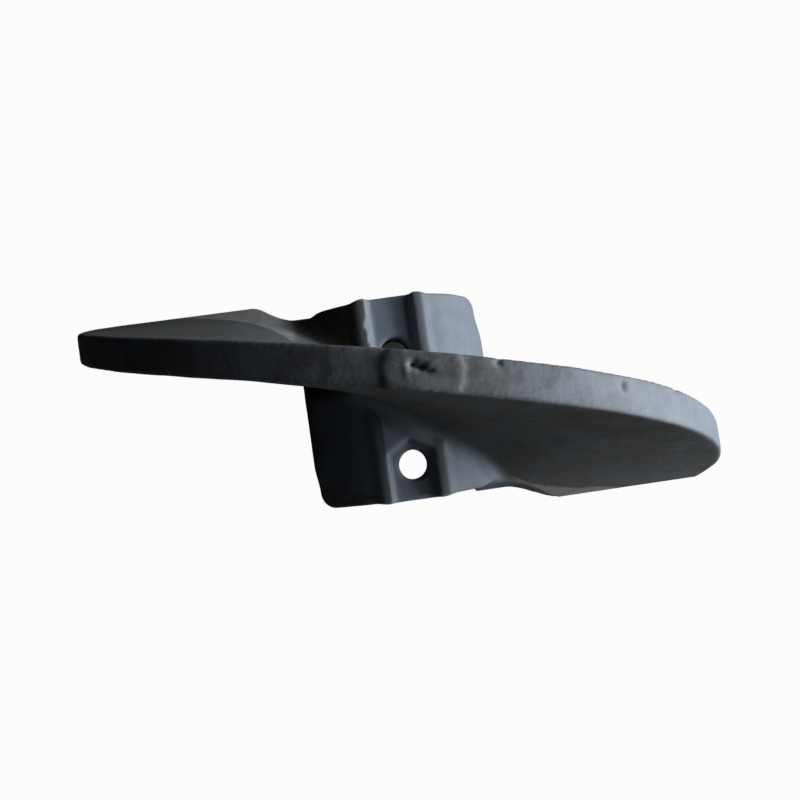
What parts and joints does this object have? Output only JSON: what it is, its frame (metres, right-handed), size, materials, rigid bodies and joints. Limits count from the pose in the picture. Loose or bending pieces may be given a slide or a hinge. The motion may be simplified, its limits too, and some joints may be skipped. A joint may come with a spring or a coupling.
{
  "type": "screw conveyor flight segment",
  "caption": "Half-turn helical flight segment cast on a half sleeve, bolted over a round shaft through sunken hexagon channels.",
  "frame": {"origin": "on the shaft axis, at mid length of the half sleeve, in the split plane that the part rests on", "axes": "+Y along the shaft axis towards the end with the lifted left wing, +Z from the shaft axis out through the bolt face and the crown of the blade, +X across the blade"},
  "size_m": [0.3993, 0.1606, 0.2014],
  "materials": {
    "painted_casting": "thin worn blue-grey paint over a cast surface",
    "worn_casting": "blue-grey paint rubbed through to dark cast metal"
  },
  "bodies": {
    "root": {"sleeve_left_wall": "painted_casting", "sleeve_right_wall": "painted_casting", "front_bolt_seat": "painted_casting", "crown_web": "painted_casting", "back_bolt_seat": "painted_casting", "blade_left_wing": "painted_casting", "blade_crown": "worn_casting", "blade_right_wing": "painted_casting", "riser_pad": "worn_casting"}
  },
  "joints": []
}
